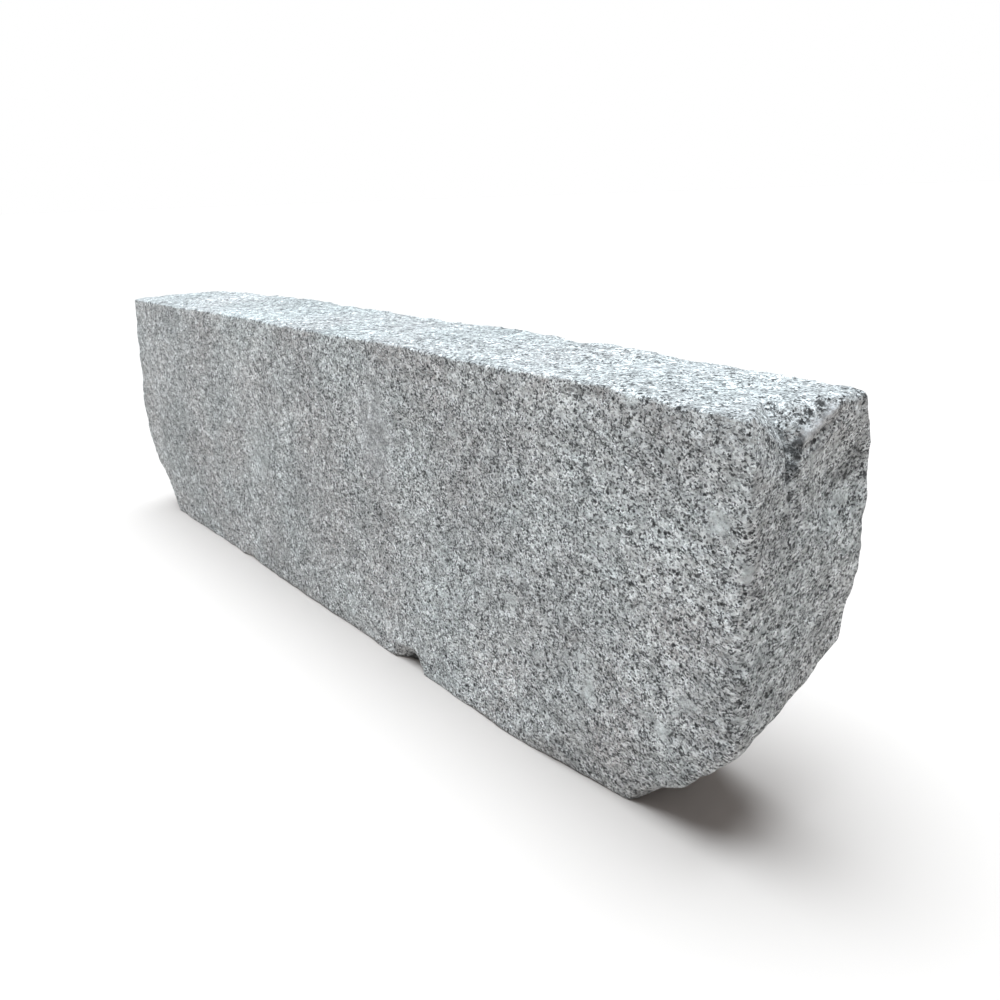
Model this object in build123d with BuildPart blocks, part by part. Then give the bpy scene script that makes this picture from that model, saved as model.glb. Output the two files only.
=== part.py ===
"""Split granite kerb stone: one bar of granite, as it came off the wedges and the mason's hammer.

The long faces are split faces that wander a few millimetres from the straight block. The left end
leans and has lost its lower corner and its back corner. The right end is undercut, so the stone
overhangs its own foot there, and its upper front corner has lost a shell-shaped spall.
Frame: +X along the stone to the undercut end, the dressed front looks to -Y, +Z up, and the origin
is on the floor under the middle of the stone.
"""

from build123d import *
import os

# The straight block that the stone was split to.
length = 1027
thickness = 121
height = 291.5

# How far each long face stands out from the block (+) or lies back from it (-), section by section
# from the left end to the right: front foot, front belly, front arris and back arris upwards, then
# back arris, back shoulder, back waist and back foot outwards.
out_of_true = (
    (-2, 2, -6, -2, -12, -8, -12, -16),
    (0, 3, -5, -1, -6, -2, -6, -12),
    (0, -2, -3, 1, -1, 3, -2, -8),
    (1, 2, -1, 1, 0, 5, -1, -10),
    (4, -2, 0, 1, 0, 4, -4, -9),
    (6, 1, 0, -1, -8, -1, -9, -12),
    (0, 0, -4, -3, -19, -6, -14, -17),
)
belly_height = 118
shoulder_height = 226
waist_height = 142

# Left end: it leans out towards its belly, below which the corner has broken off.
left_lean = 15
left_belly_height = 95
left_corner_reach = 80
left_back_reach = 52
left_back_depth = 74

# Right end: an undercut plane that rises from the foot, higher at the back than at the front.
undercut_reach = 80.5
undercut_rise_front = 79
undercut_rise_back = 135
# The small facet between the front face and the undercut.
facet_rise = 40
facet_reach = 76
facet_top_rise = 72
facet_top_reach = 20
facet_depth = 6
# The bruised arris between the top and the right end.
end_bevel_reach = 5
end_bevel_drop = 6

# The spall at the upper front corner of the right end. Its floor leans back at the top and stands
# nearly upright below. It stops at a step: an upright wall with a broken slope above it. Each plane
# is set by three points, measured from the corner: in from the end, back from the front, and down.
spall_floor_points = (
    ((7.5, 3.5, 1.5), (23.5, 29.5, 1.5), (4.5, 12.5, 12.5)),
    ((1, 5.5, 29.5), (7.5, 41.5, 31.5), (0, 35.5, 55.5)),
)
spall_step_points = (
    ((13.5, 40.5, 29.5), (0, 40.5, 29.5), (0, 35.5, 53.5)),
    ((19, 47.5, 1), (3.5, 75.5, 6), (2.5, 43.5, 20.5)),
)
# The corner that the spall lies within.
spall_reach = 40
spall_width = 108
spall_drop = 64
# The shallow bowl in the end face under that step.
bowl_radius = 90
bowl_depth = 6
bowl_from_front = 83
bowl_below_top = 54

# Hammer chips out of the arrises: radius, depth, and how far each is from the right end.
top_chip_radius, top_chip_depth, top_chip_from_end = 60, 4, 88
foot_chip_radius, foot_chip_depth, foot_chip_from_end = 24, 9, 360
back_chip_radius, back_chip_depth, back_chip_from_end = 90, 7, 62
end_chip_radius, end_chip_depth, end_chip_height = 50, 4, 198
left_foot_chip_radius, left_foot_chip_depth, left_foot_chip_from_end = 40, 4, 712

right_end = length / 2
left_end = -length / 2
front = -thickness / 2
back = thickness / 2
# The sections reach past both ends, which are then split off.
overrun = 40
# How far a cutting shape stands past the face that it cuts.
clearance = 6


def plane_through(first, second, third, outside):
    """The plane of three points, turned so that its normal looks to the side of the point outside."""
    first, second, third, outside = Vector(first), Vector(second), Vector(third), Vector(outside)
    normal = (second - first).cross(third - first)
    if normal.dot(outside - first) < 0:
        normal = -normal
    return Plane(origin=first, z_dir=normal)


def chip_centre(place, outwards, radius, depth):
    """Where the ball stands that takes a chip of this depth out of the arris at place."""
    return Vector(place) + Vector(outwards).normalized() * (radius - depth)


left_cut = plane_through(
    (left_end + left_lean, front, height),
    (left_end + left_lean, back, height),
    (left_end, front, left_belly_height),
    (2 * left_end, 0, height / 2),
)
left_corner = plane_through(
    (left_end, front, left_belly_height),
    (left_end, back, left_belly_height),
    (left_end + left_corner_reach, front, 0),
    (2 * left_end, 0, -height),
)
left_back_corner = plane_through(
    (left_end + left_lean + left_back_reach, back, height),
    (left_end + left_lean, back - left_back_depth, height),
    (left_end + left_back_reach, back, 0),
    (2 * left_end, 2 * back, height / 2),
)
right_cut = Plane(origin=(right_end, 0, 0), z_dir=(1, 0, 0))
undercut = plane_through(
    (right_end - undercut_reach, front, 0),
    (right_end, front, undercut_rise_front),
    (right_end, back, undercut_rise_back),
    (2 * right_end, 0, -height),
)
facet = plane_through(
    (right_end - facet_reach, front, facet_rise),
    (right_end - facet_top_reach, front, facet_top_rise),
    (right_end - undercut_reach, front + facet_depth, 0),
    (right_end, 2 * front, 0),
)

end_bevel = plane_through(
    (right_end - end_bevel_reach, front, height),
    (right_end - end_bevel_reach, back, height),
    (right_end, front, height - end_bevel_drop),
    (2 * right_end, 0, 2 * height),
)

# Each chip: where its arris is, which way out of the stone, radius and depth.
chips = (
    ((right_end - top_chip_from_end, front, height), (0, -1, 1), top_chip_radius, top_chip_depth),
    ((right_end - foot_chip_from_end, front, 0), (0, -1, -0.2), foot_chip_radius, foot_chip_depth),
    ((right_end - back_chip_from_end, back, height), (0, 1, 0.5), back_chip_radius, back_chip_depth),
    ((right_end, front, end_chip_height), (1, -0.6, 0), end_chip_radius, end_chip_depth),
    (
        (right_end - left_foot_chip_from_end, front, 0),
        (0, -1, -0.4),
        left_foot_chip_radius,
        left_foot_chip_depth,
    ),
)



def spall_planes(three_points_each):
    """The planes whose points are measured from the upper front corner of the right end."""
    outside = (2 * right_end, 2 * front, 2 * height)
    planes = []
    for points in three_points_each:
        places = [(right_end - inwards, front + back_by, height - down) for inwards, back_by, down in points]
        planes.append(plane_through(*places, outside))
    return planes


# The stone left standing at that corner by the floor alone, and by the step alone.
corner_middle = Location((
    right_end - spall_reach / 2,
    front + spall_width / 2,
    height - spall_drop / 2,
))
corner_size = (spall_reach + 2 * clearance, spall_width + 2 * clearance, spall_drop + 2 * clearance)
with BuildPart() as under_the_floor:
    with Locations(corner_middle):
        Box(*corner_size)
    for plane in spall_planes(spall_floor_points):
        split(bisect_by=plane, keep=Keep.BOTTOM)

with BuildPart() as behind_the_step:
    with Locations(corner_middle):
        Box(*corner_size)
    for plane in spall_planes(spall_step_points):
        split(bisect_by=plane, keep=Keep.BOTTOM)

# The piece that came off is what neither of them holds.
with BuildPart() as spall:
    with Locations(corner_middle):
        Box(*corner_size)
    add(under_the_floor.part, mode=Mode.SUBTRACT)
    add(behind_the_step.part, mode=Mode.SUBTRACT)

with BuildPart() as kerb_stone:
    last = len(out_of_true) - 1
    for number, offsets in enumerate(out_of_true):
        front_foot, front_belly, front_top, back_top, *back_face = offsets
        along = left_end - overrun + (length + 2 * overrun) * number / last
        with BuildSketch(Plane.YZ.offset(along)):
            with BuildLine():
                foot_in_front = (front - front_foot, -clearance)
                arris_in_front = (front, height + front_top)
                heights = (height + back_top, shoulder_height, waist_height, -clearance)
                down_the_back = [(back + out, up) for out, up in zip(back_face, heights)]
                Spline(foot_in_front, (front - front_belly, belly_height), arris_in_front)
                Line(arris_in_front, down_the_back[0])
                Spline(*down_the_back)
                Line(down_the_back[-1], foot_in_front)
            make_face()
    # The faces run straight from section to section, as a split runs from wedge to wedge.
    loft(ruled=True)
    split(bisect_by=Plane.XY, keep=Keep.TOP)
    for cut in (left_cut, left_corner, left_back_corner, right_cut, undercut, facet, end_bevel):
        split(bisect_by=cut, keep=Keep.BOTTOM)
    add(spall.part, mode=Mode.SUBTRACT)
    bowl_centre = (
        right_end - bowl_depth + bowl_radius,
        front + bowl_from_front,
        height - bowl_below_top,
    )
    with Locations(bowl_centre):
        Sphere(bowl_radius, mode=Mode.SUBTRACT)
    for place, outwards, radius, depth in chips:
        with Locations(chip_centre(place, outwards, radius, depth)):
            Sphere(radius, mode=Mode.SUBTRACT)

os.makedirs("parts", exist_ok=True)
kerb_stone.part.label = "kerb_stone"
export_step(kerb_stone.part, "parts/kerb_stone.step")
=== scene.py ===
"""Looks of the split granite kerb stone: its hewn skin, its granite and the studio that it stands in.

The skin is one closed surface, worked out with numpy. It follows the same faces as the solid in the
frame and adds what splitting leaves on them: slow waves, hackle, crumbled arrises and chips.
Lengths inside the shape functions are millimetres in the frame's axes, and the mesh is in metres.
"""

import functools
import math

import bpy
import numpy as np
from mathutils import Matrix, Vector


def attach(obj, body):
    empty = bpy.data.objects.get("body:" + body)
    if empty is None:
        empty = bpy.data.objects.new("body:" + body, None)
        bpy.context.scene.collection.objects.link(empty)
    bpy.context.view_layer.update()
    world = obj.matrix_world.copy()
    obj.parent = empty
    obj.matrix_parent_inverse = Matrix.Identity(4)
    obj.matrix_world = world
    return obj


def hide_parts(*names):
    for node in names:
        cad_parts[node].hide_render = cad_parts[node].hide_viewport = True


bl_info = {
    "name": "Split granite kerb stone",
    "version": (1, 0, 0),
    "blender": (4, 5, 0),
    "location": "View3D > Sidebar > Kerb stone",
    "description": "Builds the rough skin, the granite and the studio of a split kerb stone",
    "category": "Add Mesh",
}

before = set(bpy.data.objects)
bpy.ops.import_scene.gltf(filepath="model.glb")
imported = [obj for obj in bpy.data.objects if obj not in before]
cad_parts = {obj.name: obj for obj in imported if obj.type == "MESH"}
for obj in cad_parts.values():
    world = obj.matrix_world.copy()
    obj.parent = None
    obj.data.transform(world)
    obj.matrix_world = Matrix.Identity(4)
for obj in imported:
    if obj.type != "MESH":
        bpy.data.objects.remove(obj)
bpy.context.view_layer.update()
MM = 0.001
NODE = "kerb_stone"

# The straight block that the stone was split to, and its faces.
LENGTH, THICKNESS, HEIGHT = 1027.0, 121.0, 291.5
LEFT_END, RIGHT_END = -LENGTH / 2, LENGTH / 2
FRONT, BACK = -THICKNESS / 2, THICKNESS / 2

# How far the long faces lie off that block at seven sections, left to right, as in the solid:
# front foot, front belly, front arris and back arris upwards, then back arris, shoulder, waist, foot.
OVERRUN = 40.0
OUT_OF_TRUE = np.array((
    (-2, 2, -6, -2, -12, -8, -12, -16),
    (0, 3, -5, -1, -6, -2, -6, -12),
    (0, -2, -3, 1, -1, 3, -2, -8),
    (1, 2, -1, 1, 0, 5, -1, -10),
    (4, -2, 0, 1, 0, 4, -4, -9),
    (6, 1, 0, -1, -8, -1, -9, -12),
    (0, 0, -4, -3, -19, -6, -14, -17),
), float)
FRONT_HEIGHTS = (0.0, 118.0, 291.5)
BACK_HEIGHTS = (291.5, 226.0, 142.0, 0.0)

# The planes that the ends broke on, each by three points of it.
LEFT_SPLIT = ((-498.5, -60.5, 291.5), (-498.5, 60.5, 291.5), (-513.5, -60.5, 95))
LEFT_CORNER = ((-513.5, -60.5, 95), (-513.5, 60.5, 95), (-433.5, -60.5, 0))
LEFT_BACK_CORNER = ((-446.5, 60.5, 291.5), (-498.5, -13.5, 291.5), (-461.5, 60.5, 0))
UNDERCUT = ((433, -60.5, 0), (513.5, -60.5, 79), (513.5, 60.5, 135))
FOOT_FACET = ((437.5, -60.5, 40), (493.5, -60.5, 72), (433, -54.5, 0))
# The arris between the top and the right end is bruised to a narrow bevel.
END_BEVEL = ((508.5, -60.5, 291.5), (508.5, 60.5, 291.5), (513.5, -60.5, 285.5))

# The spall at the upper front corner of the right end. Its floor leans back at the top and stands
# nearly upright below. The step beside it is an upright wall with a broken slope above it.
SPALL_FLOOR = (
    ((506, -57, 290), (490, -31, 290), (509, -48, 279)),
    ((512.5, -55, 262), (506, -19, 260), (513.5, -25, 236)),
)
SPALL_STEP = (
    ((500, -20, 262), (513.5, -20, 262), (513.5, -25, 238)),
    ((494.5, -13, 290.5), (510, 15, 285.5), (511, -17, 271)),
)

# Chips: where on the stone, which way out of it, radius of the scar and depth. The sixth is the bowl
# in the end face, and the last is a hollow in the front edge of the undercut.
CHIPS = (
    ((425.5, -60.5, 291.5), (0, -1, 1), 60, 4),
    ((153.5, -60.5, 0), (0, -1, -0.2), 24, 9),
    ((451.5, 60.5, 291.5), (0, 1, 0.5), 90, 7),
    ((513.5, -60.5, 198), (1, -0.6, 0), 50, 4),
    ((-198.5, -60.5, 0), (0, -1, -0.4), 40, 4),
    ((513.5, 22.5, 237.5), (1, 0, 0), 90, 6),
    ((468, -58, 34), (0.4, -0.35, -1), 120, 3),
)

# Grooves that the break left beside the step of the spall: start, end, half width and depth. The
# first four are the crevice that runs down from the step, and the last lies under the step's edge.
GROOVES = (
    ((510, -16, 270), (508.5, -19, 262), 2.4, 2.6),
    ((508.5, -19, 262), (507.5, -21.7, 255), 2.4, 2.6),
    ((507.5, -21.7, 255), (509.5, -24, 246), 2.4, 2.4),
    ((509.5, -24, 246), (510.5, -22.2, 234), 2.6, 2.0),
    ((511, -13, 263), (511, 20, 277), 3.6, 2.0),
)

# Marks on the skin: kind, middle, half sizes along x, y and z, and strength.
CRUSHED_AND_LIT, STAIN_AND_SHADE, SHELL_AND_HIGHLIGHT = 0, 1, 2
MARKS = (
    # Pale crushed patches of the front, its arrises and the spall. The last two are on the end and are
    # painted light on the lit swells of the bowl's relief.
    (CRUSHED_AND_LIT, (489, -60, 225), (9, 20, 10), 0.85),
    (CRUSHED_AND_LIT, (303, -60, 115), (12, 20, 5), 0.95),
    (CRUSHED_AND_LIT, (299, -60, 136), (9, 20, 5), 0.6),
    (CRUSHED_AND_LIT, (389, -60, 76), (6, 20, 12), 0.8),
    (CRUSHED_AND_LIT, (472, -60, 102), (13, 20, 4), 0.8),
    (CRUSHED_AND_LIT, (456, -60, 77), (7, 20, 6), 0.8),
    (CRUSHED_AND_LIT, (363, -60, 93), (6, 20, 6), 0.6),
    (CRUSHED_AND_LIT, (379, -60, 99), (6, 20, 5), 0.6),
    (CRUSHED_AND_LIT, (-150, -60, 140), (50, 20, 60), 0.34),
    (CRUSHED_AND_LIT, (422, -60, 284), (9, 8, 4.5), 0.8),
    (CRUSHED_AND_LIT, (510, -57, 200), (4, 5, 9), 0.8),
    (CRUSHED_AND_LIT, (497, -30, 284), (13, 22, 9), 0.35),
    (CRUSHED_AND_LIT, (512, -6, 255), (20, 9, 6), 0.5),
    (CRUSHED_AND_LIT, (508, 32, 225), (20, 11, 6), 0.5),
    # Stains and dark clots of the front and its arrises. The second is painted shadow under the overhanging
    # lip of the top front arris, and the fourth is painted shadow in the notch at the foot.
    (STAIN_AND_SHADE, (461, -60, 76), (2.5, 10, 2.5), 0.9),
    (STAIN_AND_SHADE, (383, -60, 284), (34, 5, 3), 0.4),
    (STAIN_AND_SHADE, (512, -48, 187), (8, 8, 2.5), 0.7),
    (STAIN_AND_SHADE, (152, -60, 3), (13, 20, 7), 1.0),
    (STAIN_AND_SHADE, (116, -60, 208), (30, 20, 45), 0.3),
    (STAIN_AND_SHADE, (486, -60, 147), (1.5, 5, 1.5), 0.9),
    (STAIN_AND_SHADE, (427, -60, 152), (2, 5, 2), 0.9),
    (STAIN_AND_SHADE, (368, -60, 143), (2, 5, 2), 0.9),
    # Painted shade in the crevice beside the spall, from its top down: it darkens the hollow that the
    # grooves cut.
    (STAIN_AND_SHADE, (510, -15, 268), (20, 1.5, 3.5), 0.75),
    (STAIN_AND_SHADE, (509, -18, 262), (20, 1.3, 5.5), 0.8),
    (STAIN_AND_SHADE, (508, -20.5, 255), (20, 1.3, 6), 0.8),
    (STAIN_AND_SHADE, (509, -23, 246), (20, 1.5, 7), 0.75),
    (STAIN_AND_SHADE, (511, -22, 235), (20, 2.4, 5), 0.72),
    # Dark marks of the end and dark clots in the spall. The first two are short dark lines down the front
    # rim of the spall. The third and fourth are painted shade on the darker side of the bowl in the end, and
    # the fifth is painted shade under the edge of the step.
    (STAIN_AND_SHADE, (506, -40, 274), (12, 2.0, 7), 0.45),
    (STAIN_AND_SHADE, (511, -52, 265), (12, 2.0, 7), 0.45),
    (STAIN_AND_SHADE, (508, 33, 240), (20, 13, 9), 0.42),
    (STAIN_AND_SHADE, (510, 42, 250), (20, 8, 8), 0.45),
    (STAIN_AND_SHADE, (511, -9, 264), (20, 9, 3), 0.3),
    (STAIN_AND_SHADE, (506.5, 6, 285), (8, 2.8, 1.8), 1.0),
    (STAIN_AND_SHADE, (506, -3, 281), (8, 1.8, 1.5), 1.0),
    (STAIN_AND_SHADE, (504, -23, 263.5), (8, 1.8, 1.8), 0.8),
    # Smooth breaks: a patch of the front, the pale band along the step and two patches of the top. The band
    # is partly a smooth break and partly a painted highlight, where the step's upturned edge catches the
    # light.
    (SHELL_AND_HIGHLIGHT, (116, -60, 208), (30, 20, 45), 0.35),
    (SHELL_AND_HIGHLIGHT, (511.5, -17, 268), (8, 4, 2.2), 0.7),
    (SHELL_AND_HIGHLIGHT, (511.5, -9, 272), (8, 5, 2.4), 0.75),
    (SHELL_AND_HIGHLIGHT, (511.2, 0, 275.5), (8, 5, 2.4), 0.8),
    (SHELL_AND_HIGHLIGHT, (511.3, 7, 279), (8, 5, 2.4), 0.8),
    (SHELL_AND_HIGHLIGHT, (511.5, 14, 282.5), (8, 5, 2.4), 0.75),
    (SHELL_AND_HIGHLIGHT, (378, 10, 290), (14, 12, 6), 0.3),
    (SHELL_AND_HIGHLIGHT, (400, 29, 290), (12, 10, 6), 0.3),
)
# How a mark fades: its level in the middle, its fall over one half size, and how ragged its edge is.
# It is whole out to about half of its half size, and gone at about 1.2 of it.
MARK_LEVEL, MARK_FALL, MARK_RAGGED = 1.6, 1.3, 0.7

# Noises, each by its height and pitch in millimetres and its seed: the relief of a split face from
# slow waves down to crystal steps, the width of the worn arrises, and the ragged edges of marks.
RELIEF = ((1.6, 120, 11), (1.0, 52, 12), (0.7, 17, 13), (0.5, 9, 14), (0.35, 4.5, 15))
HACKLE = (1.3, 30, 16)
HACKLE_FOLD = 0.45
ARRIS_WEAR = ((3.0, 30, 21), (1.8, 11, 22))
MARK_EDGES = ((0.5, 9, 31), (0.5, 4.5, 32))
# The relief is sunk by this much, so that the skin stays inside the solid's box.
SUNK = 2.0
# The lattices lie askew to the stone, so that none of their lines runs along a face.
ASKEW = np.array(
    Matrix.Rotation(0.7, 3, "X") @ Matrix.Rotation(0.9, 3, "Z") @ Matrix.Rotation(0.5, 3, "Y")
)
# Large odd numbers, which scatter the keys of neighbouring lattice corners.
CORNER_KEYS = np.array((73856093, 19349663, 83492791))
SEED_KEY, FIRST_MIX, SECOND_MIX = 2654435761, 1274126177, 668265263

# Width of a worn arris, and its least width. The near upright arris is worn by CORNER_WORN more
# within CORNER_REACH of it, and that fades out upwards over CORNER_FADE below CORNER_TOP.
WORN, LEAST_WORN = 2.2, 1.0
CORNER_WORN, CORNER_REACH, CORNER_TOP, CORNER_FADE = 7, 22, 250, 40
# How much of the relief the bed, a chip and the spall show, and how far round the rims of the last
# two are.
BED_RELIEF, CHIP_RELIEF, SPALL_RELIEF = 0.3, 0.5, 0.3
CHIP_RIM, SPALL_RIM = 2.0, 1.2
# Distance from a groove counts less along x, because the break that it lies in isn't flat.
GROOVE_MEASURE = (0.3, 1.0, 1.0)

# The skin is looked for between a block this much larger than the stone and a core this far inside.
BLOCK_MARGIN, CORE_INSET, HALVINGS = 8.0, 45.0, 14

# The camera, as the picture's perspective gives it for a picture of 1000 by 1000 pixels.
PICTURE_PIXELS = 1000.0
FOCAL_PIXELS = 924.9
SENSOR_WIDTH = 36.0
CAMERA_PLACE = (0.799, -0.449, 0.404)
CAMERA_YAW, CAMERA_PITCH, CAMERA_ROLL = math.radians(-52.41), math.radians(18.44), math.radians(-1.95)
NEAREST_SEEN = 0.01

# Which way the overhead light shines, and how many corners the round floor has.
LIGHT_DIRECTION = (0.17, 0.035, -1.0)
FLOOR_CORNERS = 64
ROOM_COLOUR = "#ffffff"


def linear(hex_colour):
    """An sRGB hex colour as linear red, green, blue and alpha."""
    parts = [int(hex_colour[i:i + 2], 16) / 255 for i in (1, 3, 5)]
    return (*[c / 12.92 if c <= 0.04045 else ((c + 0.055) / 1.055) ** 2.4 for c in parts], 1.0)


def easing(t):
    """3t^2 - 2t^3: goes from 0 to 1 and is level at both ends."""
    return t * t * (3 - 2 * t)


def lattice_noise(points, pitch, seed):
    """Random values from -1 to 1 on a cubic lattice of that pitch, eased from corner to corner.

    Each point takes the eight corners of its cell, weighted by the eased distances along x, y and z.
    """
    at = points @ ASKEW / pitch + 1000.0
    cell = np.floor(at).astype(np.int64)
    part = easing(at - cell)
    value = np.zeros(len(points))
    for corner in np.ndindex(2, 2, 2):
        key = (cell + corner) @ CORNER_KEYS + seed * SEED_KEY
        key = (key ^ (key >> 13)) * FIRST_MIX & 0x7FFFFFFF
        key = (key ^ (key >> 15)) * SECOND_MIX & 0x7FFFFFFF
        weight = np.prod(np.where(corner, part, 1 - part), axis=1)
        value += weight * ((key >> 7 & 0xFFFF) / 32767.5 - 1)
    return value


def layered(points, noises):
    """The sum of lattice noises, each times its height."""
    return sum(height * lattice_noise(points, pitch, seed) for height, pitch, seed in noises)


def over_the_faces(columns, places):
    """Values set at even places along the stone, eased from one section to the next."""
    last = len(OUT_OF_TRUE) - 1
    at = np.clip((places - LEFT_END + OVERRUN) / (LENGTH + 2 * OVERRUN) * last, 0, last)
    cell = np.minimum(np.floor(at).astype(int), last - 1)
    part = easing(at - cell)[:, None]
    return OUT_OF_TRUE[cell][:, columns] * (1 - part) + OUT_OF_TRUE[cell + 1][:, columns] * part


def through_heights(heights, offsets, z):
    """The one polynomial in z that takes each column of offsets at its height."""
    total = np.zeros(len(z))
    for i, height in enumerate(heights):
        others = [h for j, h in enumerate(heights) if j != i]
        share = np.prod([(z - other) / (height - other) for other in others], axis=0)
        total += share * offsets[:, i]
    return total


def beyond(plane, points):
    """Signed distance beyond a plane of three points, positive on the side away from the stone."""
    a, b, c = (np.array(p, float) for p in plane)
    normal = np.cross(b - a, c - a)
    normal /= np.linalg.norm(normal)
    if (np.array((0.0, 0.0, HEIGHT / 2)) - a) @ normal > 0:
        normal = -normal
    return (points - a) @ normal


def joined(first, second, width):
    """The larger of two distances, rounded over that width where they are nearly equal.

    Nearness is 1 less their difference in widths. Its square times a quarter of the width is added.
    """
    near = np.maximum(width - np.abs(first - second), 0) / width
    return np.maximum(first, second) + near * near * width / 4


def relief(points):
    """Height of the split surface over its plane: waves, hackle and crystal steps, added up.

    Most of the hackle is a noise folded at zero, which leaves sharp valleys between round swells.
    """
    height, pitch, seed = HACKLE
    hackle = height * (HACKLE_FOLD - np.abs(lattice_noise(points, pitch, seed)))
    return layered(points, RELIEF) + hackle - SUNK


def crumbling(points):
    """Width over which an arris is rounded: a few millimetres, more in places and at the near corner.

    Two noises change it from place to place. The near corner adds a bell of its distance across,
    which fades out upwards.
    """
    x, y, z = points.T
    corner = np.exp(-((x - RIGHT_END) ** 2 + (y - FRONT) ** 2) / CORNER_REACH ** 2)
    width = np.maximum(WORN + layered(points, ARRIS_WEAR), LEAST_WORN)
    return width + CORNER_WORN * corner * np.clip((CORNER_TOP - z) / CORNER_FADE, 0, 1)


def grooved(points):
    """Depth of the grooves: a bell of the distance from each straight line, and the deepest counts."""
    depths = np.zeros(len(points))
    for start, end, half_width, depth in GROOVES:
        start, along = np.array(start, float), np.subtract(end, start)
        part = np.clip((points - start) @ along / (along @ along), 0, 1)
        away = (points - start - part[:, None] * along) * GROOVE_MEASURE
        bell = depth * np.exp(-(away ** 2).sum(axis=1) / half_width ** 2)
        depths = np.maximum(depths, bell)
    return depths


def stone(points):
    """Signed distance to the stone's skin: the farthest beyond any face, with the arrises rounded.

    Each face is a plane or a waving face of the block with the relief taken off it. A chip is a ball
    taken out. The spall is what lies beyond its floor and also beyond its step.
    """
    x, y, z = points.T
    rough = relief(points)
    worn = crumbling(points)
    # The front face keeps to the block at its upper arris.
    front = np.column_stack((over_the_faces([0, 1], x), np.zeros(len(x))))
    front = through_heights(FRONT_HEIGHTS, front, z)
    back = through_heights(BACK_HEIGHTS, over_the_faces([4, 5, 6, 7], x), z)
    arrises = over_the_faces([2, 3], x)
    across = np.clip((y - FRONT) / THICKNESS, 0, 1)
    crown = arrises[:, 0] * (1 - across) + arrises[:, 1] * across
    skin = (FRONT - y) - front - rough
    skin = joined(skin, (y - BACK) - back - rough, worn)
    skin = joined(skin, z - HEIGHT - crown - rough, worn)
    skin = joined(skin, -z + BED_RELIEF * np.maximum(rough, 0), worn)
    skin = joined(skin, x - RIGHT_END - np.minimum(rough, 0), worn)
    for plane in (LEFT_SPLIT, LEFT_CORNER, LEFT_BACK_CORNER, UNDERCUT, FOOT_FACET, END_BEVEL):
        skin = joined(skin, beyond(plane, points) - rough, worn)
    for place, outwards, radius, depth in CHIPS:
        way = np.array(outwards) / np.linalg.norm(outwards)
        centre = np.array(place) + way * (radius - depth)
        scar = radius - np.linalg.norm(points - centre, axis=1)
        skin = joined(skin, scar - CHIP_RELIEF * rough, CHIP_RIM)
    floor = np.max([beyond(plane, points) for plane in SPALL_FLOOR], axis=0)
    step = np.max([beyond(plane, points) for plane in SPALL_STEP], axis=0)
    skin = joined(skin, np.minimum(floor, step) - SPALL_RELIEF * rough, SPALL_RIM)
    return skin + grooved(points)


def block_surface(cells):
    """The outer grid of a block of cells: corner numbers from 0 to 1 along each edge, and its quads.

    Each of the six sides is a grid in two of the three directions, and the sides share their rims.
    """
    cells = np.array(cells)
    corners = []
    for axis in range(3):
        across, up = (axis + 1) % 3, (axis + 2) % 3
        row, column = np.meshgrid(np.arange(cells[across]), np.arange(cells[up]), indexing="ij")
        for side in (0, cells[axis]):
            turn = ((0, 0), (1, 0), (1, 1), (0, 1)) if side else ((0, 0), (0, 1), (1, 1), (1, 0))
            quad = np.empty((row.size, 4, 3), np.int64)
            quad[:, :, axis] = side
            for number, (right, above) in enumerate(turn):
                quad[:, number, across] = row.ravel() + right
                quad[:, number, up] = column.ravel() + above
            corners.append(quad)
    corners = np.concatenate(corners).reshape(-1, 3)
    key = (corners[:, 0] * (cells[1] + 1) + corners[:, 1]) * (cells[2] + 1) + corners[:, 2]
    _, first, quads = np.unique(key, return_index=True, return_inverse=True)
    return corners[first] / cells, quads.reshape(-1, 4)


def crowded(part, left, right):
    """Even steps from 0 to 1 made closer near both ends, each end by its own crowding.

    A sine of one full turn, times the crowding of the nearer end, is taken off.
    """
    bend = left * (1 - part) + right * part
    return part - bend * np.sin(2 * np.pi * part) / (2 * np.pi)


def kerb_skin(cells, crowding, end_crowding):
    """The stone's skin as points and quads: a function of where a point lies on the block's sides.

    A point starts on a block a little larger than the stone, whose underside rises with the cut
    corners. It then moves straight towards a core inside the stone until it meets the skin, which
    is found by halving the way again and again.
    """
    part, quads = block_surface(cells)
    part = np.column_stack((
        crowded(part[:, 0], crowding, end_crowding),
        crowded(part[:, 1], crowding, crowding),
        crowded(part[:, 2], crowding, crowding),
    ))
    margin, inset = BLOCK_MARGIN, CORE_INSET
    x = LEFT_END - margin + (LENGTH + 2 * margin) * part[:, 0]
    y = FRONT - margin + (THICKNESS + 2 * margin) * part[:, 1]
    flat = np.column_stack((x, y, np.zeros(len(x))))
    underside = np.zeros(len(x))
    for plane in (LEFT_CORNER, UNDERCUT):
        steepness = beyond(plane, flat) - beyond(plane, flat + (0, 0, 1.0))
        underside = np.maximum(underside, beyond(plane, flat) / steepness)
    z = (underside - margin) * (1 - part[:, 2]) + (HEIGHT + margin) * part[:, 2]
    outside = np.column_stack((x, y, z))
    core = np.column_stack((
        np.clip(x, LEFT_END + inset, RIGHT_END - inset),
        np.clip(y, FRONT + inset, BACK - inset),
        np.clip(z, inset + underside, HEIGHT - inset),
    ))
    near, far = np.zeros(len(x)), np.ones(len(x))
    for _ in range(HALVINGS):
        middle = (near + far) / 2
        clear = stone(outside + (core - outside) * middle[:, None]) > 0
        near = np.where(clear, middle, near)
        far = np.where(clear, far, middle)
    return outside + (core - outside) * far[:, None], quads


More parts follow.
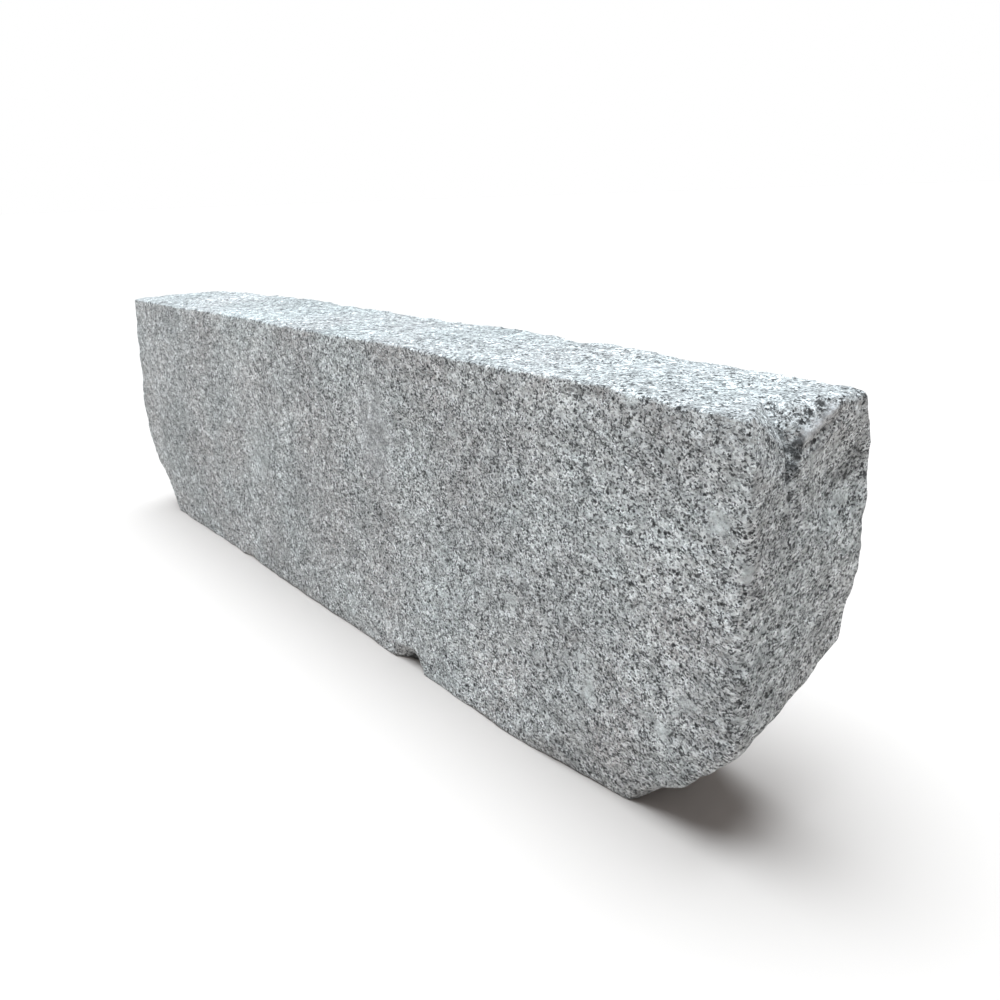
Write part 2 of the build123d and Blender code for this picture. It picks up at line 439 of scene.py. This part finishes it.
def marks_on(points):
    """Three shares from 0 to 1 for each point: pale crushed patches and painted light, dark stains and
    painted shade, and smooth shell breaks and a painted highlight.

    A mark is a bell of its own width and height round its middle, and a noise frays its edge.
    """
    fray = layered(points, MARK_EDGES)
    shares = np.zeros((len(points), 3))
    for kind, middle, half_sizes, strength in MARKS:
        away = np.linalg.norm((points - np.array(middle, float)) / np.array(half_sizes, float), axis=1)
        share = strength * np.clip(MARK_LEVEL - MARK_FALL * away + MARK_RAGGED * fray, 0, 1)
        shares[:, kind] = np.maximum(shares[:, kind], share)
    return shares


def put_mesh(name, points, quads):
    """A mesh object at the origin, with its place in its points, which are millimetres."""
    mesh = bpy.data.meshes.new(name)
    mesh.vertices.add(len(points))
    mesh.vertices.foreach_set("co", (points * MM).ravel())
    mesh.loops.add(quads.size)
    mesh.loops.foreach_set("vertex_index", quads.ravel())
    mesh.polygons.add(len(quads))
    mesh.polygons.foreach_set("loop_start", np.arange(0, quads.size, 4))
    mesh.polygons.foreach_set("use_smooth", np.ones(len(quads), bool))
    mesh.update(calc_edges=True)
    mesh.validate()
    piece = bpy.data.objects.new(name, mesh)
    bpy.context.scene.collection.objects.link(piece)
    return piece


def add_node(tree, kind, inputs=(), **settings):
    """Adds a shader node with these settings and gives back its outputs.

    The inputs are values, or outputs of other nodes to link: in the order of the sockets, or a
    dictionary by the socket's name or number.
    """
    node = tree.nodes.new("ShaderNode" + kind)
    for name, value in settings.items():
        setattr(node, name, value)
    pairs = inputs.items() if isinstance(inputs, dict) else enumerate(inputs)
    for socket, value in pairs:
        if isinstance(value, bpy.types.NodeSocket):
            tree.links.new(value, node.inputs[socket])
        else:
            node.inputs[socket].default_value = value
    return node.outputs


def per_metre(size_mm):
    """The scale of a pattern whose cells or waves are that many millimetres across."""
    return 1 / (size_mm * MM)


def split_granite(finish):
    """Granite, split and left rough.

    It is a mass of interlocked crystals one to three millimetres across: white and pale grey feldspar,
    glassy grey quartz and small black plates of mica. A split runs round the crystals and through
    them, so the surface is dull all over with a fine sugary roughness. Where a hammer has crushed the
    feldspar it shows as pale patches, and a clean shell break is smoother and paler. The same pale
    paints also lay painted light on the end's bowl and a painted highlight along the step of the
    spall, and the dark stains also lay painted shade in the crevice, the notch, under the top lip and
    in the bowl.
    """
    material = bpy.data.materials.new("split_granite")
    material.use_nodes = True
    material.node_tree.nodes.clear()
    add = functools.partial(add_node, material.node_tree)
    place = add("TexCoord")["Object"]

    # The crystals lie a little along the bed of the rock, which dips towards the right end and rises
    # to the back, so the pattern is read at places drawn together along those directions.
    dip = add("Mapping", {
        "Vector": place,
        "Rotation": (math.radians(25), math.radians(16), 0.0),
        "Scale": (1.3, 1.35, 1.0),
    }, vector_type="TEXTURE")[0]

    # Soft random waves, each with its size in millimetres, its detail and the places it is read at.
    waves = {
        name: add("TexNoise", {"Vector": at, "Scale": per_metre(size_mm), "Detail": detail})
        for name, size_mm, detail, at in (
            ("wander", 1.1, 1.0, place),
            ("fray", 2.6, 3.0, place),
            ("tatter", 5, 3.0, place),
            ("veil", 3.4, 2.0, dip),
            ("swarm", 5, 2.0, dip),
            ("mottle", 7, 2.0, dip),
            ("cloud", 95, 3.0, place),
            ("sugar", 1.2, 3.0, place),
            ("pits", 8, 4.0, place),
        )
    }

    # Crystals are cells whose edges wander by some tenths of a millimetre. Each cell has three random
    # numbers, and its distance output is measured from its middle.
    wander = (1.2 * MM,) * 3
    wandering = add("VectorMath", (waves["wander"]["Color"], wander, dip), operation="MULTIPLY_ADD")[0]
    cells = {
        name: add("TexVoronoi", {"Vector": wandering, "Scale": per_metre(size_mm)})
        for name, size_mm in (
            ("feldspar", 1.5),
            ("quartz", 1.1),
            ("mica", 1.05),
            ("clot", 3.0),
            ("bruise", 24),
        )
    }
    numbers = {name: add("SeparateColor", (outputs["Color"],)) for name, outputs in cells.items()}

    # Placed marks that the skin carries: crushed pale patches with some painted light, dark stains with
    # painted shade in hollows and under edges, and smooth shell breaks with a painted highlight along the
    # step. A noise frays the edges of the first two.
    marks = add("Attribute", attribute_name="marks")["Color"]
    crushed_and_lit, stain_and_shade, shell_and_highlight = add("SeparateColor", (marks,))
    fray = add("MapRange", (waves["fray"]["Fac"], 0.3, 0.7, 0.55, 1.45))[0]
    crushed_and_lit = add("Math", (crushed_and_lit, fray), operation="MULTIPLY")[0]
    crushed_and_lit = add("MapRange", (crushed_and_lit, 0.2, 0.75, 0.0, 1.0))[0]
    stain_and_shade = add("Math", (stain_and_shade, fray), operation="MULTIPLY")[0]
    stain_and_shade = add("MapRange", (stain_and_shade, 0.15, 0.7, 0.0, 1.0))[0]

    # Small bruises, a few millimetres across, are strewn over the faces some 25 mm apart.
    tatter = add("MapRange", (waves["tatter"]["Fac"], 0.3, 0.7, -0.18, 0.18))[0]
    bruise = add("Math", (cells["bruise"]["Distance"], tatter), operation="ADD")[0]
    bruise = add("MapRange", (bruise, 0.18, 0.08, 0.0, 0.5))[0]
    crushed_and_lit = add("Math", (crushed_and_lit, bruise), operation="MAXIMUM")[0]

    # Feldspar: each crystal has its own grey, and they run together under paler and darker veils. It
    # is a little cooler or warmer from one part of the stone to another.
    tone = add("Math", (waves["veil"]["Fac"], 1.6, 0.45), operation="MULTIPLY_ADD")[0]
    tone = add("Math", (numbers["feldspar"][0], 0.7, tone), operation="MULTIPLY_ADD")[0]
    tone = add("MapRange", (tone, 1.05, 2.15, 0.0, 1.0))[0]
    warmth = add("SeparateColor", (waves["cloud"]["Color"],))[1]
    warmth = add("MapRange", (warmth, 0.38, 0.62, 0.0, 1.0))[0]
    colour = add("Mix", {0: warmth, 6: linear(finish.feldspar), 7: linear(finish.warm)}, data_type="RGBA")[2]
    colour = add("Mix", {0: tone, 6: colour, 7: linear(finish.white)}, data_type="RGBA")[2]
    glassy = add("MapRange", (numbers["quartz"][1], 0.68, 0.74, 0.0, 0.8))[0]
    colour = add("Mix", {0: glassy, 6: colour, 7: linear(finish.quartz)}, data_type="RGBA")[2]

    # Mica lies in loose swarms, so how much of it there is changes over some 5 mm, and there is
    # little of it in crushed feldspar. A few plates stand together in clots of 2 to 3 mm.
    share = add("MapRange", (waves["swarm"]["Fac"], 0.32, 0.68, 0.02, 0.46))[0]
    spared = add("MapRange", (crushed_and_lit, 0.0, 1.0, 1.0, 0.25))[0]
    share = add("Math", (share, spared), operation="MULTIPLY")[0]
    flecks = add("Math", (numbers["mica"][2], share), operation="LESS_THAN")[0]
    black = add("MapRange", (numbers["mica"][0], 0.0, 1.0, 0.72, 1.0))[0]
    flecks = add("Math", (flecks, black), operation="MULTIPLY")[0]
    clots = add("Math", (numbers["clot"][1], 0.05), operation="LESS_THAN")[0]
    thick = add("MapRange", (cells["clot"]["Distance"], 0.5, 0.3, 0.0, 1.0))[0]
    clots = add("Math", (clots, thick), operation="MULTIPLY")[0]
    flecks = add("Math", (flecks, clots), operation="MAXIMUM")[0]
    smooth = add("MapRange", (shell_and_highlight, 0.0, 1.0, 1.0, 0.25))[0]
    flecks = add("Math", (flecks, smooth), operation="MULTIPLY")[0]
    colour = add("Mix", {0: flecks, 6: colour, 7: linear(finish.mica)}, data_type="RGBA")[2]

    # Crushed feldspar is nearly white between the grains that are left, and a shell break is an even
    # pale grey. The same two paints lay the painted light on the end's bowl and the painted highlight
    # along the step.
    powder = add("MapRange", (waves["sugar"]["Fac"], 0.35, 0.6, 0.25, 0.85))[0]
    powder = add("Math", (crushed_and_lit, powder), operation="MULTIPLY")[0]
    colour = add("Mix", {0: powder, 6: colour, 7: linear(finish.crushed_and_lit)}, data_type="RGBA")[2]
    even = add("Math", (shell_and_highlight, 0.8), operation="MULTIPLY")[0]
    colour = add("Mix", {0: even, 6: colour, 7: linear(finish.shell_and_highlight)}, data_type="RGBA")[2]

    # Cloudiness of the whole stone over 7 and 95 mm, and the dark stains and painted shade.
    cloudy = add("MapRange", (waves["cloud"]["Fac"], 0.3, 0.7, 0.84, 1.16))[0]
    mottled = add("MapRange", (waves["mottle"]["Fac"], 0.35, 0.65, 0.78, 1.22))[0]
    brightness = add("Math", (cloudy, mottled), operation="MULTIPLY")[0]
    darkened = add("MapRange", (stain_and_shade, 0.0, 1.0, 1.0, 0.14))[0]
    brightness = add("Math", (brightness, darkened), operation="MULTIPLY")[0]
    colour = add("HueSaturation", {"Color": colour, "Value": brightness})[0]

    # Feldspar and quartz break dull, and a mica plate shines a little.
    roughness = add("MapRange", (flecks, 0.0, 1.0, 0.90, 0.55))[0]

    # Bump, in millimetres: crystals stand or are missing by a few tenths, with sugar grain over them,
    # and under them lie pits of some 4 to 12 mm.
    height = add("Math", (waves["pits"]["Fac"], 5.0, 0.0), operation="MULTIPLY_ADD")[0]
    height = add("Math", (numbers["feldspar"][1], 0.45, height), operation="MULTIPLY_ADD")[0]
    height = add("Math", (waves["sugar"]["Fac"], 2.4, height), operation="MULTIPLY_ADD")[0]
    strength = add("MapRange", (shell_and_highlight, 0.0, 1.0, 1.0, 0.4))[0]
    bump = add("Bump", {"Strength": strength, "Distance": finish.grain_depth, "Height": height})[0]

    shader = add("BsdfPrincipled", {
        "Base Color": colour, "Roughness": roughness, "Normal": bump, "IOR": 1.54,
    })[0]
    add("OutputMaterial", {"Surface": shader})
    return material


def pale_floor_paint(stage):
    """Matt white studio paint, rolled on: an even pale ground with no gloss to mirror the stone."""
    material = bpy.data.materials.new("studio_floor")
    material.use_nodes = True
    shader = material.node_tree.nodes["Principled BSDF"]
    shader.inputs["Base Color"].default_value = linear(stage.floor_colour)
    shader.inputs["Roughness"].default_value = 0.95
    return material


class KerbStoneShape(bpy.types.PropertyGroup):
    """Fineness of the stone's skin."""

    cells: bpy.props.IntVectorProperty(
        name="Cells", description="Grid cells along the length, thickness and height of the skin",
        default=(236, 60, 116), size=3, min=8,
    )
    crowding: bpy.props.FloatProperty(
        name="Crowding", description="How much closer the grid lines lie at the arrises",
        default=0.35, min=0.0, max=0.9,
    )
    end_crowding: bpy.props.FloatProperty(
        name="End crowding", description="The same at the right end, where the spall is",
        default=0.75, min=0.0, max=0.9,
    )


class GraniteFinish(bpy.types.PropertyGroup):
    """Colours of the granite's minerals and depth of its grain."""

    feldspar: bpy.props.StringProperty(
        name="Feldspar", description="Commonest crystal, as an sRGB hex colour", default="#a9aead")
    warm: bpy.props.StringProperty(
        name="Warm feldspar", description="The same where it is tinged pink, as an sRGB hex colour",
        default="#b1aba9")
    white: bpy.props.StringProperty(
        name="White feldspar", description="Palest crystals, as an sRGB hex colour", default="#fbfcfc")
    quartz: bpy.props.StringProperty(
        name="Quartz", description="Glassy grey crystals, as an sRGB hex colour", default="#898a8a")
    mica: bpy.props.StringProperty(
        name="Mica", description="Black plates, as an sRGB hex colour", default="#090b0c")
    # The crushed and shell-break paints also lay painted light on the end's bowl and a painted highlight
    # along the step of the spall.
    crushed_and_lit: bpy.props.StringProperty(
        name="Crushed", description="Crushed feldspar, as an sRGB hex colour", default="#dfe3e2")
    shell_and_highlight: bpy.props.StringProperty(
        name="Shell break", description="Smooth broken face, as an sRGB hex colour", default="#cfced0")
    grain_depth: bpy.props.FloatProperty(
        name="Grain depth", description="Height that one step of the grain stands out of the face",
        default=0.001, unit="LENGTH", min=0.0,
    )


class StudioStage(bpy.types.PropertyGroup):
    """Floor, light and camera of the studio."""

    floor_colour: bpy.props.StringProperty(
        name="Floor", description="Floor paint, as an sRGB hex colour", default="#c7beb9")
    floor_radius: bpy.props.FloatProperty(
        name="Floor radius", description="Half the width of the floor", default=60.0, unit="LENGTH")
    overhead: bpy.props.FloatProperty(
        name="Overhead light", description="Strength of the soft light from above", default=6.45)
    overhead_width: bpy.props.FloatProperty(
        name="Light width", description="Angle that the overhead light fills", default=1.05,
        subtype="ANGLE")
    overhead_colour: bpy.props.StringProperty(
        name="Light colour", description="Colour of the light from above, as an sRGB hex colour",
        default="#ecf8ff")
    room: bpy.props.FloatProperty(
        name="Room light", description="Strength of the even light from all round", default=0.24)


class KERB_OT_stone(bpy.types.Operator):
    """Builds the rough skin of the kerb stone over its solid"""

    bl_idname = "kerb.stone"
    bl_label = "Build the stone"

    def execute(self, context):
        shape = context.scene.kerb_shape
        points, quads = kerb_skin(tuple(shape.cells), shape.crowding, shape.end_crowding)
        if not np.isfinite(points).all():
            raise RuntimeError("the skin of the stone has points that are nowhere")
        piece = put_mesh("granite_skin", points, quads)
        marks = piece.data.attributes.new("marks", "FLOAT_COLOR", "POINT")
        shares = np.column_stack((marks_on(points), np.ones(len(points))))
        marks.data.foreach_set("color", shares.ravel())
        piece.data.materials.append(split_granite(context.scene.kerb_finish))
        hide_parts(NODE)
        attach(piece, "root")
        return {"FINISHED"}


class KERB_OT_stage(bpy.types.Operator):
    """Lays the pale floor, hangs the soft light and stands the camera"""

    bl_idname = "kerb.stage"
    bl_label = "Set the stage"

    def execute(self, context):
        scene = context.scene
        stage = scene.kerb_stage
        lay_floor(stage)
        hang_lights(stage)
        scene.camera = stand_camera()
        scene.view_settings.view_transform = "Standard"
        return {"FINISHED"}


def lay_floor(stage):
    """A round floor at the height of the stone's bed: corners evenly spaced on a circle."""
    angle = np.linspace(0, 2 * np.pi, FLOOR_CORNERS, endpoint=False)
    rim = np.column_stack((np.cos(angle), np.sin(angle), np.zeros(FLOOR_CORNERS))) * stage.floor_radius
    mesh = bpy.data.meshes.new("floor")
    mesh.from_pydata(rim.tolist(), [], [list(range(FLOOR_CORNERS))])
    mesh.materials.append(pale_floor_paint(stage))
    floor = bpy.data.objects.new("floor", mesh)
    bpy.context.scene.collection.objects.link(floor)


def hang_lights(stage):
    """One broad soft light overhead, far enough to be even, and a weaker light from all round."""
    lamp = bpy.data.lights.new("overhead_light", "SUN")
    lamp.energy = stage.overhead
    lamp.angle = stage.overhead_width
    lamp.color = linear(stage.overhead_colour)[:3]
    light = bpy.data.objects.new("overhead_light", lamp)
    light.matrix_world = Vector(LIGHT_DIRECTION).to_track_quat("-Z", "Y").to_matrix().to_4x4()
    bpy.context.scene.collection.objects.link(light)

    world = bpy.data.worlds.new("studio_room")
    bpy.context.scene.world = world
    world.use_nodes = True
    tree = world.node_tree
    tree.nodes.clear()
    # The camera sees a plain white room, and the stone gets a dimmer light from it.
    seen = add_node(tree, "Background", {"Color": linear(ROOM_COLOUR), "Strength": 1.0})[0]
    lit = add_node(tree, "Background", {"Color": linear(ROOM_COLOUR), "Strength": stage.room})[0]
    looked_at = add_node(tree, "LightPath")["Is Camera Ray"]
    both = add_node(tree, "MixShader", (looked_at, lit, seen))[0]
    add_node(tree, "OutputWorld", {"Surface": both})


def stand_camera():
    """A camera turned by yaw about the upright, pitched down and rolled about its own line of sight."""
    forward = Vector((
        math.sin(CAMERA_YAW) * math.cos(CAMERA_PITCH),
        math.cos(CAMERA_YAW) * math.cos(CAMERA_PITCH),
        -math.sin(CAMERA_PITCH),
    ))
    level = Vector((math.cos(CAMERA_YAW), -math.sin(CAMERA_YAW), 0))
    upright = level.cross(forward)
    cosine, sine = math.cos(CAMERA_ROLL), math.sin(CAMERA_ROLL)
    right = cosine * level + sine * upright
    up = -sine * level + cosine * upright
    data = bpy.data.cameras.new("camera")
    data.sensor_width = SENSOR_WIDTH
    data.lens = FOCAL_PIXELS / PICTURE_PIXELS * SENSOR_WIDTH
    data.clip_start = NEAREST_SEEN
    camera = bpy.data.objects.new("camera", data)
    turned = Matrix((right, up, -forward)).transposed().to_4x4()
    camera.matrix_world = Matrix.Translation(Vector(CAMERA_PLACE)) @ turned
    bpy.context.scene.collection.objects.link(camera)
    return camera


class KERB_PT_sidebar(bpy.types.Panel):
    """Sizes, colours and buttons of the kerb stone"""

    bl_label = "Kerb stone"
    bl_space_type = "VIEW_3D"
    bl_region_type = "UI"
    bl_category = "Kerb stone"

    def draw(self, context):
        column = self.layout.column()
        for group in ("kerb_shape", "kerb_finish", "kerb_stage"):
            values = getattr(context.scene, group)
            for name in values.bl_rna.properties.keys():
                if name not in ("name", "rna_type"):
                    column.prop(values, name)
        column.operator(KERB_OT_stone.bl_idname)
        column.operator(KERB_OT_stage.bl_idname)


GROUPS = {"kerb_shape": KerbStoneShape, "kerb_finish": GraniteFinish, "kerb_stage": StudioStage}
CLASSES = (*GROUPS.values(), KERB_OT_stone, KERB_OT_stage, KERB_PT_sidebar)


def register():
    """Makes the properties, buttons and panel known to Blender."""
    for one in CLASSES:
        bpy.utils.register_class(one)
    for name, group in GROUPS.items():
        setattr(bpy.types.Scene, name, bpy.props.PointerProperty(type=group))


def unregister():
    """Takes them out again."""
    for name in GROUPS:
        delattr(bpy.types.Scene, name)
    for one in reversed(CLASSES):
        bpy.utils.unregister_class(one)


def main():
    """Builds the stone and its stage."""
    register()
    bpy.ops.kerb.stone()
    bpy.ops.kerb.stage()


if __name__ == "__main__":
    main()
